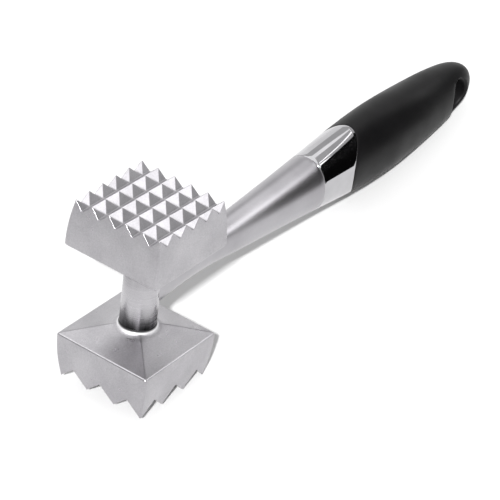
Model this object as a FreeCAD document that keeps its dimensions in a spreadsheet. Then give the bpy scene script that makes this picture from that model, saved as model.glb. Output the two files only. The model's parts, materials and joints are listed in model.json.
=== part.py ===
import FreeCAD, Part
import os
import Sketcher
from FreeCAD import Placement, Rotation, Vector

# Meat mallet. Every sub-part is drawn in the head's own frame: origin in the middle of the
# head's stem, +Z along the stem to the fine teeth, +X along the handle. One placement then
# lays the whole mallet on a table, on its coarse teeth and the underside of its grip.

os.makedirs("parts", exist_ok=True)
doc = FreeCAD.newDocument("MeatMallet")
sheet = doc.addObject("Spreadsheet::Sheet", "Dimensions")
row_count = 0


def dim(alias, value, note=""):
    """One named cell: a plain number in millimetres or degrees, or a formula."""
    global row_count
    row_count += 1
    sheet.set("A%d" % row_count, alias)
    sheet.set("B%d" % row_count, value if isinstance(value, str) else repr(value))
    sheet.set("C%d" % row_count, note)
    sheet.setAlias("B%d" % row_count, alias)


# Head blocks
dim("rim_half", 25.0, "half width of a block at its rim, where the back starts")
dim("rim_height", 23.35, "rim above the middle of the stem")
dim("tip_half", 22.7, "half width across the outer tooth crests")
dim("tip_height", 46.5, "tooth tips above the middle of the stem")
dim("apex_height", 15.8, "where the four slopes of a back would meet")
dim("wall_radius", 118.0, "bulge of a block's side walls")
dim("block_round", 0.8, "rounding of a block's upright and rim edges")
dim("crest_flat", 0.25, "blunt crest of a tooth")
dim("root_flat", 0.8, "flat floor of a tooth groove")
dim("fine_gaps", 5, "grooves each way in the fine face")
dim("coarse_gaps", 3, "grooves each way in the coarse face")
dim("over", 1.0, "how far a cutting shape runs past the face that it cuts")
for face in ("fine", "coarse"):
    dim(face + "_pitch", "=2 * tip_half / %s_gaps" % face)
    dim(face + "_top", "=(%s_pitch - crest_flat) / 2" % face)
    dim(face + "_floor", "=tip_height - (%s_pitch - crest_flat - root_flat) / 2" % face)
    dim(face + "_first", "=-tip_half + %s_pitch / 2" % face)
    dim(face + "_span", "=%s_pitch * (%s_gaps - 1)" % (face, face))
    dim(face + "_left_top", "=%s_first - %s_top" % (face, face))
    dim(face + "_right_top", "=%s_first + %s_top" % (face, face))
    dim(face + "_left_root", "=%s_first - root_flat / 2" % face)
    dim(face + "_right_root", "=%s_first + root_flat / 2" % face)
dim("tip_over", "=tip_height + over")
dim("outside", "=rim_half + 6")
dim("above", "=tip_height + 6")
dim("below", 5.0, "low edge of the shape that trims a block")
dim("block_width", "=2 * rim_half + 4")

# Stem and the fillet boss of each block
dim("stem_r", 8.4, "radius of the bar between the blocks")
dim("boss_height", 16.2, "where a block's boss meets the stem's shoulder")
dim("boss_out", 10.8, "radius where the boss fillet runs out on the slopes")
dim("boss_top", "=rim_height - (rim_half - boss_out) * (rim_height - apex_height) / rim_half")
dim("boss_fillet", 3.4, "radius of the boss fillet")
dim("boss_inside", 26.0, "top of the boss ring, buried in the block")
dim("spigot_r", 6.9, "radius of the stem's end inside a block")
dim("spigot_end", 28.0, "height of the spigot's end face")
dim("bevel", 0.6, "lead-in bevel of spigots, studs and pins")

# Studs and pins of the head
dim("stud_r", 3.0, "the three studs, M6")
dim("stud_low", 9.0, "lower end of a block stud")
dim("stud_high", 36.0, "upper end of a block stud")
dim("dowel_r", 1.25, "dowel pins of the head")
dim("dowel_off", 5.0, "dowel's distance from the stem's axis")
dim("dowel_low", 24.0)
dim("dowel_high", 32.0)
dim("shank_stud_start", -4.0)
dim("shank_stud_end", 30.0)
dim("shank_dowel_off", 5.4, "dowel above the shank stud")
dim("shank_dowel_start", 1.0)
dim("shank_dowel_end", 15.0)

# Handle
dim("seam", 124.2, "rear face of the shank, front face of the ring")
dim("oval", 1.2, "height of the handle's oval sections over their width")
dim("wall", 2.5, "thickness of the ring and of the soft sleeve")
dim("ring_valley", 146.3, "ring's rear edge at the sides of the handle")
dim("ring_reach", 13.0, "how much further its two tongues reach")
dim("core_end", 258.5, "rear end of the rigid core")
dim("tang_r", 6.0, "steel tang")
dim("tang_start", 94.0)
dim("tang_end", 226.0)
dim("cross_r", 2.0, "pins through the tang")
dim("cross_half", 11.0, "half length of a pin through the tang")
dim("cross_front", 172.0)
dim("cross_rear", 208.0)
dim("hole_x", 246.5, "hang hole")
dim("hole_z", 2.7)
dim("hole_r", 8.5)
dim("hole_lining", 1.0, "soft lining of the hang hole")
dim("lead_r", 10.3, "outer radius of the hang hole's countersink")
dim("lead_low", 8.0, "where the countersink starts, from the middle plane")
dim("lead_high", 12.0)
dim("eye_r", "=hole_r + hole_lining")
dim("wide", 30.0, "half width of the shapes that trim the handle")
dim("handle_limit", 280.0, "end of those shapes, past the tail")

dim("ring_tall", 18.45, "height at which the tongues have reached that far")
dim("rise_start", 160.0, "where the grip's middle line starts to rise")
dim("tail_end", 266.1, "last oval section of the grip")
dim("tail_rise", 3.9, "rise of the middle line there")
dim("rise_power", 1.45, "bend of the rise")

# Oval sections of the handle: distance from the stem, half width
SECTIONS = [
    (2.0, 8.26),
    (25.0, 6.93),
    (40.0, 6.83),
    (64.0, 8.26),
    (80.0, 9.28),
    (124.2, 12.23),
    (155.0, 14.54),
    (185.0, 15.65),
    (215.0, 14.45),
    (243.0, 12.0),
    (252.0, 10.48),
    (258.0, 8.73),
    (262.0, 6.88),
    (264.8, 4.71),
    (266.1, 2.4),
]
WHOLE_HANDLE = range(0, 15)
CORE_SECTIONS = range(0, 13)

for number, (along, half) in enumerate(SECTIONS):
    key = "sec%02d_" % number
    dim(key + "along", along)
    dim(key + "wide", half)
    dim(key + "tall", "=%swide * oval" % key)
    share = "(%salong - rise_start) / (tail_end - rise_start)" % key
    dim(key + "rise", "=%salong > rise_start ? tail_rise * pow(%s; rise_power) : 0" % (key, share))

# Resting place on the table; the three values are worked out at the end
dim("rest_pitch", 9.0, "handle end down")
dim("rest_shift", 0.0)
dim("rest_lift", 50.0)
doc.recompute()


def number_of(alias):
    """Value of a cell, or 0 for 0; a leading minus turns its sign."""
    if alias == 0:
        return 0.0
    if alias.startswith("-"):
        return -float(getattr(sheet, alias[1:]))
    return float(getattr(sheet, alias))


def formula(alias):
    """The same value as an expression for setExpression."""
    if alias.startswith("-"):
        return "-1 * Dimensions." + alias[1:]
    return "Dimensions." + alias


def origin_item(body, role):
    for item in body.Origin.OriginFeatures:
        if item.Role == role:
            return item
    raise RuntimeError("no " + role)


def new_body(name):
    return doc.addObject("PartDesign::Body", name)


def sketch_on(body, role, name):
    sketch = body.newObject("Sketcher::SketchObject", name)
    sketch.AttachmentSupport = (origin_item(body, role), [""])
    sketch.MapMode = "FlatFace"
    return sketch


def outline(sketch, corners):
    """Closed outline through corners (x alias, y alias[, arc radius alias, bulge side]).

    The arc belongs to the edge that starts at the corner; bulge side is +1 or -1, left or
    right of the way from that corner to the next.
    """
    count = len(corners)
    spots = [Vector(number_of(c[0]), number_of(c[1]), 0) for c in corners]
    ends = []
    for i, corner in enumerate(corners):
        start = spots[i]
        stop = spots[(i + 1) % count]
        if len(corner) == 2:
            geo = sketch.addGeometry(Part.LineSegment(start, stop), False)
            ends.append((geo, 1, 2))
            continue
        radius = number_of(corner[2])
        chord = stop - start
        side = Vector(-chord.y, chord.x, 0).normalize() * corner[3]
        depth = radius - (radius ** 2 - (chord.Length / 2) ** 2) ** 0.5
        middle = (start + stop) * 0.5 + side * depth
        geo = sketch.addGeometry(Part.Arc(start, middle, stop), False)
        first = sketch.getPoint(geo, 1)
        flipped = first.distanceToPoint(start) > first.distanceToPoint(stop)
        ends.append((geo, 2, 1) if flipped else (geo, 1, 2))
        index = sketch.addConstraint(Sketcher.Constraint("Radius", geo, radius))
        sketch.setExpression("Constraints[%d]" % index, formula(corner[2]))
    for i in range(count):
        geo, _, stop = ends[i]
        after, start, _ = ends[(i + 1) % count]
        sketch.addConstraint(Sketcher.Constraint("Coincident", geo, stop, after, start))
    for i, corner in enumerate(corners):
        geo, start, _ = ends[i]
        for axis, kind, line in ((0, "DistanceX", -2), (1, "DistanceY", -1)):
            if corner[axis] == 0:
                sketch.addConstraint(Sketcher.Constraint("PointOnObject", geo, start, line))
                continue
            value = number_of(corner[axis])
            index = sketch.addConstraint(Sketcher.Constraint(kind, geo, start, value))
            sketch.setExpression("Constraints[%d]" % index, formula(corner[axis]))
    return sketch


def pad(body, sketch, name, length):
    feature = body.newObject("PartDesign::Pad", name)
    feature.Profile = sketch
    feature.Midplane = True
    feature.Length = number_of(length)
    feature.setExpression("Length", formula(length))
    sketch.Visibility = False
    body.Tip = feature
    doc.recompute()
    return feature


def pocket_through(body, sketch, name):
    feature = body.newObject("PartDesign::Pocket", name)
    feature.Profile = sketch
    feature.Type = "ThroughAll"
    feature.Midplane = True
    sketch.Visibility = False
    body.Tip = feature
    doc.recompute()
    return feature


def revolve(body, sketch, name, kind="PartDesign::Revolution", axis="V_Axis"):
    feature = body.newObject(kind, name)
    feature.Profile = sketch
    feature.ReferenceAxis = (sketch, [axis])
    feature.Angle = 360.0
    sketch.Visibility = False
    body.Tip = feature
    doc.recompute()
    return feature


def repeat(body, feature, name, axis, length, times):
    pattern = body.newObject("PartDesign::LinearPattern", name)
    pattern.Originals = [feature]
    pattern.Direction = (origin_item(body, axis), [""])
    pattern.Length = number_of(length)
    pattern.Occurrences = int(number_of(times))
    pattern.setExpression("Length", formula(length))
    pattern.setExpression("Occurrences", formula(times))
    body.Tip = pattern
    doc.recompute()
    return pattern


def block(face, up):
    """A striking block: bulged square body, sloped back, boss round the stem, two-way teeth.

    up is "" for the block above the stem and "-" for the one below.
    """
    body = new_body(face + "_body")
    bulge = 1 if up == "" else -1
    profile = outline(
        sketch_on(body, "XZ_Plane", face + "_profile"),
        [
            ("-rim_half", up + "rim_height", "wall_radius", bulge),
            ("-tip_half", up + "tip_height"),
            ("tip_half", up + "tip_height", "wall_radius", bulge),
            ("rim_half", up + "rim_height"),
            (0, up + "apex_height"),
        ],
    )
    pad(body, profile, face + "_slab", "block_width")
    for side, minus, turn in (("right", "", 1), ("left", "-", -1)):
        trim = outline(
            sketch_on(body, "YZ_Plane", "%s_outside_%s" % (face, side)),
            [
                (minus + "outside", up + "below"),
                (minus + "outside", up + "above"),
                (minus + "tip_half", up + "above"),
                (minus + "tip_half", up + "tip_height", "wall_radius", bulge * turn),
                (minus + "rim_half", up + "rim_height"),
                (0, up + "apex_height"),
                (0, up + "below"),
            ],
        )
        trimmed = pocket_through(body, trim, "%s_%s_trim" % (face, side))
    round_block(body, trimmed, face, up)
    ring = outline(
        sketch_on(body, "XZ_Plane", face + "_boss_profile"),
        [
            ("stud_r", up + "boss_height"),
            ("stem_r", up + "boss_height", "boss_fillet", bulge),
            ("boss_out", up + "boss_top"),
            ("boss_out", up + "boss_inside"),
            ("stud_r", up + "boss_inside"),
        ],
    )
    revolve(body, ring, face + "_boss")
    for plane, axis, letter in (("XZ_Plane", "X_Axis", "x"), ("YZ_Plane", "Y_Axis", "y")):
        groove = outline(
            sketch_on(body, plane, "%s_groove_%s" % (face, letter)),
            [
                (face + "_left_root", up + face + "_floor"),
                (face + "_right_root", up + face + "_floor"),
                (face + "_right_top", up + "tip_height"),
                (face + "_right_top", up + "tip_over"),
                (face + "_left_top", up + "tip_over"),
                (face + "_left_top", up + "tip_height"),
            ],
        )
        cutter = pocket_through(body, groove, "%s_cut_%s" % (face, letter))
        repeat(body, cutter, "%s_cuts_%s" % (face, letter), axis, face + "_span", face + "_gaps")
    return body


def round_block(body, feature, face, up):
    """Rounds the four upright edges and the rim of a block."""
    sign = -1 if up else 1
    rim = number_of("rim_half")
    level = number_of("rim_height") * sign
    names = []
    for index, edge in enumerate(feature.Shape.Edges, 1):
        box = edge.BoundBox
        on_rim = abs(box.ZMin - level) < 0.01 and abs(box.ZMax - level) < 0.01
        upright = box.ZLength > 15 and min(abs(box.XMin), abs(box.XMax)) > rim - 4
        if on_rim or upright:
            names.append("Edge%d" % index)
    fillet = body.newObject("PartDesign::Fillet", face + "_rounding")
    fillet.Base = (feature, names)
    fillet.Radius = number_of("block_round")
    fillet.setExpression("Radius", formula("block_round"))
    body.Tip = fillet
    doc.recompute()
    return fillet


AXIS_TURN = {
    "x": Rotation(Vector(0, 1, 0), 90),
    "y": Rotation(Vector(1, 0, 0), -90),
    "z": Rotation(),
}


def rod(name, axis, start, stop, radius, off=None):
    """Plain cylinder from start to stop along an axis; off moves it sideways."""
    cylinder = doc.addObject("Part::Cylinder", name)
    spot = {axis: start}
    spot.update(off or {})
    place = Vector(*[number_of(spot.get(letter, 0)) for letter in "xyz"])
    cylinder.Placement = Placement(place, AXIS_TURN[axis])
    cylinder.setExpression("Radius", formula(radius))
    cylinder.setExpression("Height", "%s - (%s)" % (formula(stop), formula(start)))
    for letter, alias in spot.items():
        cylinder.setExpression("Placement.Base." + letter, formula(alias))
    return cylinder


def pin(name, axis, start, stop, radius, off=None):
    """Round pin or stud with bevelled ends."""
    base = rod(name + "_bar", axis, start, stop, radius, off)
    doc.recompute()
    made = doc.addObject("Part::Chamfer", name)
    made.Base = base
    size = min(number_of("bevel"), number_of(radius) * 0.3)
    circles = [i for i, edge in enumerate(base.Shape.Edges, 1) if edge.Closed]
    made.Edges = [(i, size, size) for i in circles]
    doc.recompute()
    return made


def cut(name, base, tools):
    tool = tools[0]
    if len(tools) > 1:
        tool = doc.addObject("Part::MultiFuse", name + "_tools")
        tool.Shapes = tools
    made = doc.addObject("Part::Cut", name)
    made.Base = base
    made.Tool = tool
    doc.recompute()
    return made


def common(name, base, tool):
    made = doc.addObject("Part::Common", name)
    made.Base = base
    made.Tool = tool
    doc.recompute()
    return made


def box(name, low, high):
    """Box between two corners, each given as three aliases."""
    made = doc.addObject("Part::Box", name)
    for letter, size, a, b in zip("xyz", ("Length", "Width", "Height"), low, high):
        start = formula(a) if a else "0"
        stop = formula(b) if b else "0"
        made.setExpression(size, "%s - (%s)" % (stop, start))
        if a:
            made.setExpression("Placement.Base." + letter, start)
    doc.recompute()
    return made


def section(number, name, inset=None):
    """One oval section of the handle, standing across it."""
    key = "sec%02d_" % number
    oval = doc.addObject("Part::Ellipse", name)
    less = " - " + formula(inset) if inset else ""
    oval.Placement = Placement(Vector(), Rotation(Vector(0, 1, 0), -90))
    oval.setExpression("MajorRadius", formula(key + "tall") + less)
    oval.setExpression("MinorRadius", formula(key + "wide") + less)
    oval.setExpression("Placement.Base.x", formula(key + "along"))
    oval.setExpression("Placement.Base.z", formula(key + "rise"))
    return oval


def loft(name, numbers, inset=None):
    """Smooth solid through a run of sections."""
    made = doc.addObject("Part::Loft", name)
    made.Sections = [section(n, "%s_%02d" % (name, n), inset) for n in numbers]
    made.Solid = True
    made.Ruled = False
    doc.recompute()
    return made


finished = []


def finish(thing, label):
    thing.Label = label
    finished.append(thing)


# Striking blocks
for face, up in (("fine", ""), ("coarse", "-")):
    start, stop = ("below", "spigot_end") if up == "" else ("-spigot_end", "-below")
    low, high = ("spigot_end", "stud_high") if up == "" else ("-stud_high", "-spigot_end")
    pin_low, pin_high = ("spigot_end", "dowel_high") if up == "" else ("-dowel_high", "-spigot_end")
    socket = rod(face + "_socket", "z", start, stop, "spigot_r")
    tapped = rod(face + "_tapped", "z", low, high, "stud_r")
    pinned = rod(face + "_pinned", "z", pin_low, pin_high, "dowel_r", {"x": "dowel_off"})
    whole = block(face, up)
    finish(cut(face + "_block", whole, [socket, tapped, pinned]), face + "_tooth_block")

# Stem: a bar with a spigot at each end
stem_body = new_body("stem_body")
stem_profile = outline(
    sketch_on(stem_body, "XZ_Plane", "stem_profile"),
    [
        (0, "-spigot_end"),
        ("spigot_r", "-spigot_end"),
        ("spigot_r", "-boss_height"),
        ("stem_r", "-boss_height"),
        ("stem_r", "boss_height"),
        ("spigot_r", "boss_height"),
        ("spigot_r", "spigot_end"),
        (0, "spigot_end"),
    ],
)
revolve(stem_body, stem_profile, "stem_turned")
stem_holes = [
    rod("stem_bore_up", "z", "stud_low", "spigot_end", "stud_r"),
    rod("stem_bore_down", "z", "-spigot_end", "-stud_low", "stud_r"),
    rod("stem_pin_up", "z", "dowel_low", "spigot_end", "dowel_r", {"x": "dowel_off"}),
    rod("stem_pin_down", "z", "-spigot_end", "-dowel_low", "dowel_r", {"x": "dowel_off"}),
    rod("stem_side_bore", "x", "shank_stud_start", "rim_half", "stud_r"),
    rod("stem_side_pin", "x", "shank_dowel_start", "rim_half", "dowel_r", {"z": "shank_dowel_off"}),
]
finish(cut("stem", stem_body, stem_holes), "head_stem")

# Studs and dowels of the head
finish(pin("stud_up", "z", "stud_low", "stud_high", "stud_r"), "fine_block_stud")
finish(pin("stud_down", "z", "-stud_high", "-stud_low", "stud_r"), "coarse_block_stud")
offset = {"x": "dowel_off"}
finish(pin("dowel_up", "z", "dowel_low", "dowel_high", "dowel_r", offset), "fine_block_dowel")
finish(pin("dowel_down", "z", "-dowel_high", "-dowel_low", "dowel_r", offset), "coarse_block_dowel")
finish(pin("side_stud", "x", "shank_stud_start", "shank_stud_end", "stud_r"), "shank_stud")
raised = {"z": "shank_dowel_off"}
finish(pin("side_dowel", "x", "shank_dowel_start", "shank_dowel_end", "dowel_r", raised), "shank_dowel")

# One smooth oval handle, parted at the seam into the shank and what lies behind it
handle = loft("handle_shape", WHOLE_HANDLE)
front_box = box("front_of_seam", (0, "-wide", "-wide"), ("seam", "wide", "wide"))
rear_box = box("rear_of_seam", ("seam", "-wide", "-wide"), ("handle_limit", "wide", "wide"))
outer = common("handle_rear", handle, rear_box)

# Shank: coped onto the stem
shank_holes = [
    rod("shank_cope", "z", "-rim_height", "rim_height", "stem_r"),
    rod("shank_front_bore", "x", "shank_stud_start", "shank_stud_end", "stud_r"),
    rod("shank_pin_bore", "x", "shank_dowel_start", "shank_dowel_end", "dowel_r", {"z": "shank_dowel_off"}),
    rod("shank_socket", "x", "tang_start", "core_end", "tang_r"),
]
finish(cut("shank", common("shank_blank", handle, front_box), shank_holes), "handle_shank")

# Tang and its cross pins
tang_holes = [
    rod("tang_cross_front", "y", "-wide", "wide", "cross_r", {"x": "cross_front"}),
    rod("tang_cross_rear", "y", "-wide", "wide", "cross_r", {"x": "cross_rear"}),
]
tang_blank = pin("tang", "x", "tang_start", "tang_end", "tang_r")
finish(cut("tang_bored", tang_blank, tang_holes), "handle_tang")
for end in ("front", "rear"):
    name = "cross_" + end
    finish(pin(name + "_pin", "y", "-cross_half", "cross_half", "cross_r", {"x": name}), "cross_pin_" + end)

# Region taken by the ring: everything in front of a curved face that is the same all the way
# across the handle, so that the ring ends in a tongue above and another below
curve = []
for step in range(-12, 13):
    share = step / 12 * 1.15
    reach = number_of("ring_valley") + number_of("ring_reach") * share ** 2
    curve.append(Vector(reach, 0, share * number_of("ring_tall")))
spline = Part.BSplineCurve()
spline.interpolate(curve)
front = number_of("seam") - 5
corner_low = Vector(front, 0, curve[0].z)
corner_high = Vector(front, 0, curve[-1].z)
region_wire = Part.Wire([
    spline.toShape(),
    Part.makeLine(curve[-1], corner_high),
    Part.makeLine(corner_high, corner_low),
    Part.makeLine(corner_low, curve[0]),
])
region_face = doc.addObject("Part::Feature", "ring_region_face")
region_face.Shape = Part.Face(region_wire)
region = doc.addObject("Part::Extrusion", "ring_region")
region.Base = region_face
region.DirMode = "Custom"
region.Dir = Vector(0, 1, 0)
region.Symmetric = True
region.Solid = True
region.LengthFwd = 2 * number_of("wide")
doc.recompute()

# Rigid core: the handle's shape less the wall, in two halves, with an eye for the hang hole
core_whole = loft("core_whole", CORE_SECTIONS, "wall")
core_limit = box("core_limit", ("seam", "-wide", "-wide"), ("core_end", "wide", "wide"))
core = common("core_trimmed", core_whole, core_limit)
eye = rod("core_eye", "y", "-wide", "wide", "eye_r", {"x": "hole_x", "z": "hole_z"})
eyed_core = cut("core_eyed", core, [eye])

ring_blank = common("ring_blank", outer, region)
finish(cut("ring", ring_blank, [core_whole]), "collar_ring")

hole = rod("hang_hole", "y", "-wide", "wide", "hole_r", {"x": "hole_x", "z": "hole_z"})
leads = []
for side, turn in (("left", -90), ("right", 90)):
    cone = doc.addObject("Part::Cone", "hole_lead_" + side)
    cone.Placement = Placement(Vector(), Rotation(Vector(1, 0, 0), turn))
    cone.setExpression("Radius1", formula("hole_r"))
    cone.setExpression("Radius2", formula("lead_r"))
    cone.setExpression("Height", "Dimensions.lead_high - Dimensions.lead_low")
    cone.setExpression("Placement.Base.x", formula("hole_x"))
    cone.setExpression("Placement.Base.y", formula("lead_low" if turn < 0 else "-lead_low"))
    cone.setExpression("Placement.Base.z", formula("hole_z"))
    leads.append(cone)
sleeve_blank = cut("sleeve_blank", outer, [region])
sleeve = cut("sleeve_shell", sleeve_blank, [eyed_core])
finish(cut("sleeve", sleeve, [hole] + leads), "grip_sleeve")

pin_holes = [
    rod("core_tang_bore", "x", "tang_start", "tang_end", "tang_r"),
    rod("core_cross_front", "y", "-cross_half", "cross_half", "cross_r", {"x": "cross_front"}),
    rod("core_cross_rear", "y", "-cross_half", "cross_half", "cross_r", {"x": "cross_rear"}),
]
bored_core = cut("core_bored", eyed_core, pin_holes)
left_side = box("left_side", ("tang_start", 0, "-wide"), ("core_end", "wide", "wide"))
right_side = box("right_side", ("tang_start", "-wide", "-wide"), ("core_end", 0, "wide"))
finish(common("core_left", bored_core, left_side), "grip_core_left")
finish(common("core_right", bored_core, right_side), "grip_core_right")

# Lay the mallet down: the pitch at which coarse teeth and grip both touch the table
by_label = {thing.Label: thing for thing in finished}
touching = [by_label["coarse_tooth_block"], by_label["grip_sleeve"]]


def lowest(shape, pitch):
    turned = shape.copy()
    turned.Placement = Placement(Vector(), Rotation(Vector(0, 1, 0), pitch)).multiply(turned.Placement)
    return turned.optimalBoundingBox(False, False)


flat, steep = 4.0, 14.0
for _ in range(22):
    pitch = (flat + steep) / 2
    head_low, grip_low = [lowest(thing.Shape, pitch).ZMin for thing in touching]
    if grip_low > head_low:
        flat = pitch
    else:
        steep = pitch
boxes = [lowest(thing.Shape, pitch) for thing in finished]
low_x = min(b.XMin for b in boxes)
high_x = max(b.XMax for b in boxes)
low_z = min(b.ZMin for b in boxes)
resting = {"rest_pitch": pitch, "rest_shift": -(low_x + high_x) / 2, "rest_lift": -low_z}
for alias, value in resting.items():
    sheet.set(sheet.getCellFromAlias(alias), repr(round(value, 5)))
doc.recompute()

for thing in finished:
    thing.Placement = Placement(Vector(0, 0, 0), Rotation(Vector(0, 1, 0), number_of("rest_pitch")))
    thing.setExpression("Placement.Rotation.Angle", formula("rest_pitch"))
    thing.setExpression("Placement.Base.x", formula("rest_shift"))
    thing.setExpression("Placement.Base.z", formula("rest_lift"))
doc.recompute()

for item in doc.Objects:
    if "Invalid" in item.State or "Error" in item.State:
        raise RuntimeError("broken object: %s %s" % (item.Name, item.State))
for thing in finished:
    shape = thing.Shape
    if shape.isNull() or not shape.isValid() or shape.Volume <= 0:
        raise RuntimeError("bad shape: " + thing.Label)
    if len(shape.Solids) != 1:
        raise RuntimeError("%s has %d solids" % (thing.Label, len(shape.Solids)))
    shape.exportStep("parts/%s.step" % thing.Label)
    span = shape.optimalBoundingBox(False, False)
    print("%-20s %9.0f mm3  x %.1f..%.1f  y %.1f..%.1f  z %.2f..%.2f" % (
        thing.Label, shape.Volume, span.XMin, span.XMax, span.YMin, span.YMax, span.ZMin, span.ZMax))
print("pitch %.3f shift %.3f lift %.3f" % (
    number_of("rest_pitch"), number_of("rest_shift"), number_of("rest_lift")))
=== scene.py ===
import json
import math

import bmesh
import bpy
import numpy as np
from mathutils import Matrix, Vector

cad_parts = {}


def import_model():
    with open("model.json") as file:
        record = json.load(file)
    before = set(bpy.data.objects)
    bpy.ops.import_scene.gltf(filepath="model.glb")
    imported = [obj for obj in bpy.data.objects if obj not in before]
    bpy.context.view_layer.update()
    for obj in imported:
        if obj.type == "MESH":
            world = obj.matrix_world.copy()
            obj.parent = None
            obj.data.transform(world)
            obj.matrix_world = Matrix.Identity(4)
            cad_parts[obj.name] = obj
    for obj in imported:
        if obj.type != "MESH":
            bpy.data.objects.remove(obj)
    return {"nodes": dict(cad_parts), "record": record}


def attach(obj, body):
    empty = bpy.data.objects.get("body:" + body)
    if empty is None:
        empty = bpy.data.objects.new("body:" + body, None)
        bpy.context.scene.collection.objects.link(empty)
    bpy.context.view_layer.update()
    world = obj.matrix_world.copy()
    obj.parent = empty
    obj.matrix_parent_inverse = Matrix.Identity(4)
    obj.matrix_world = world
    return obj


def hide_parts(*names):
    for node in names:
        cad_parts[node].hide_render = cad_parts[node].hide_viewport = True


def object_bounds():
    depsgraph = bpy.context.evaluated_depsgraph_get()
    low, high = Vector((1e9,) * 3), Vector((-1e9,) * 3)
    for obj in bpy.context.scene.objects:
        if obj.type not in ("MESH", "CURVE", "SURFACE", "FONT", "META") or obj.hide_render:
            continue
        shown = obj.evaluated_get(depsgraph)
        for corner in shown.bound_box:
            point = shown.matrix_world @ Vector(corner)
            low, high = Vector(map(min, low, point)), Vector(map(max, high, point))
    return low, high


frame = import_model()
cad_low, cad_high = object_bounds()

# Every mesh below is drawn in the mallet's own frame, in millimetres: origin in the middle of
# the stem, +Z along the stem to the fine teeth, +X along the handle. One matrix lays it down.
MM = 0.001
RIM_HALF = 25.0
RIM_HEIGHT = 23.35
TIP_HALF = 22.7
TIP_HEIGHT = 46.5
APEX_HEIGHT = 15.8
WALL_RADIUS = 118.0
CREST_FLAT = 0.25
ROOT_FLAT = 0.8
FINE_GAPS = 5
COARSE_GAPS = 3
STEM_R = 8.4
BOSS_HEIGHT = 16.2
BOSS_FILLET = 3.4
BOSS_OUT = 10.8
SPIGOT_R = 6.9
SPIGOT_END = 28.0
STUD_R = 3.0
STUD_LOW = 9.0
STUD_HIGH = 36.0
DOWEL_R = 1.25
DOWEL_OFF = 5.0
DOWEL_LOW = 24.0
DOWEL_HIGH = 32.0
SHANK_STUD_R = 3.0
SHANK_STUD_START = -4.0
SHANK_STUD_END = 30.0
SHANK_DOWEL_OFF = 5.4
SHANK_DOWEL_START = 1.0
SHANK_DOWEL_END = 15.0
SEAM = 124.2
OVAL = 1.2
WALL = 2.5
RING_VALLEY = 146.3
RING_REACH = 13.0
RING_TALL = 18.45
CORE_END = 258.5
TANG_R = 6.0
TANG_START = 94.0
HOLE_X = 246.5
HOLE_Z = 2.7
HOLE_R = 8.5
HOLE_LIP = 1.4
EYE_R = 9.5
RISE_START = 160.0
TAIL_RISE = 3.9
RISE_POWER = 1.45
TAIL_END = 266.1
# Full width of a rounded edge on the blocks
EDGE_ROUNDING = 0.8
# Handle: distance from the stem's axis, half width of the oval section there
STATIONS = [
    (2.0, 8.26),
    (25.0, 6.93),
    (40.0, 6.83),
    (64.0, 8.26),
    (80.0, 9.28),
    (SEAM, 12.23),
    (155.0, 14.54),
    (185.0, 15.65),
    (215.0, 14.45),
    (243.0, 12.0),
    (252.0, 10.48),
    (258.0, 8.73),
    (262.0, 6.88),
    (264.8, 4.71),
    (TAIL_END, 2.4),
]


def laid_down():
    """Matrix from the mallet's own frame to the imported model's, read off the record's mounts."""
    mounts = {m["name"]: m for m in frame["record"]["mounts"]}
    fine, coarse = mounts["fine_striking_face"], mounts["coarse_striking_face"]
    origin = (Vector(fine["pos_m"]) + Vector(coarse["pos_m"])) / 2
    z_axis = Vector(fine["axis"]).normalized()
    x_axis = -Vector(mounts["grip_hold"]["axis"]).normalized()
    y_axis = z_axis.cross(x_axis)
    turn = Matrix((x_axis, y_axis, z_axis)).transposed().to_4x4()
    return Matrix.Translation(origin) @ turn


LAID_DOWN = laid_down()


# ---------------------------------------------------------------- mesh helpers

class Builder:
    """Collects faces given by their corners; corners at one place become one vertex."""

    def __init__(self):
        self.mesh = bmesh.new()
        self.kind = self.mesh.faces.layers.int.new("kind")
        self.known = {}

    def vertex(self, point):
        key = tuple(round(c, 4) for c in point)
        if key not in self.known:
            self.known[key] = self.mesh.verts.new(Vector(point) * MM)
        return self.known[key]

    def face(self, points, kind=0):
        corners = []
        for point in points:
            vertex = self.vertex(point)
            if vertex not in corners:
                corners.append(vertex)
        if len(corners) < 3:
            return
        self.mesh.faces.new(corners)[self.kind] = kind

    def skin(self, rings, closed=False, kind=0):
        """Quads between neighbouring rings; closed joins each ring's end to its start."""
        for near, far in zip(rings[:-1], rings[1:]):
            count = len(near)
            for k in range(count if closed else count - 1):
                n = (k + 1) % count
                self.face((near[k], near[n], far[n], far[k]), kind)

    def fan(self, ring, centre, closed=False):
        count = len(ring)
        for k in range(count if closed else count - 1):
            self.face((ring[k], ring[(k + 1) % count], centre))

    def mirror(self):
        """Adds the other half, across the plane Y = 0."""
        geom = self.mesh.verts[:] + self.mesh.edges[:] + self.mesh.faces[:]
        bmesh.ops.mirror(self.mesh, geom=geom, matrix=Matrix.Identity(4), merge_dist=1e-6, axis="Y")

    def object(self, name):
        bmesh.ops.recalc_face_normals(self.mesh, faces=self.mesh.faces[:])
        data = bpy.data.meshes.new(name)
        self.mesh.to_mesh(data)
        self.mesh.free()
        made = bpy.data.objects.new(name, data)
        bpy.context.scene.collection.objects.link(made)
        return made


def apply_modifiers(piece):
    bpy.context.view_layer.update()
    graph = bpy.context.evaluated_depsgraph_get()
    data = bpy.data.meshes.new_from_object(piece.evaluated_get(graph), depsgraph=graph)
    piece.modifiers.clear()
    piece.data = data


def rod(start, end, radius, segments=48):
    """Closed round bar between two points."""
    start, end = Vector(start), Vector(end)
    turn = (end - start).to_track_quat("Z", "Y")
    build = Builder()
    rings = []
    for centre in (start, end):
        angles = [2 * math.pi * k / segments for k in range(segments)]
        rings.append([centre + turn @ Vector((radius * math.cos(a), radius * math.sin(a), 0))
                      for a in angles])
    build.skin(rings, closed=True)
    build.fan(rings[0], start, closed=True)
    build.fan(rings[1], end, closed=True)
    return build.object("cutter")


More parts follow.
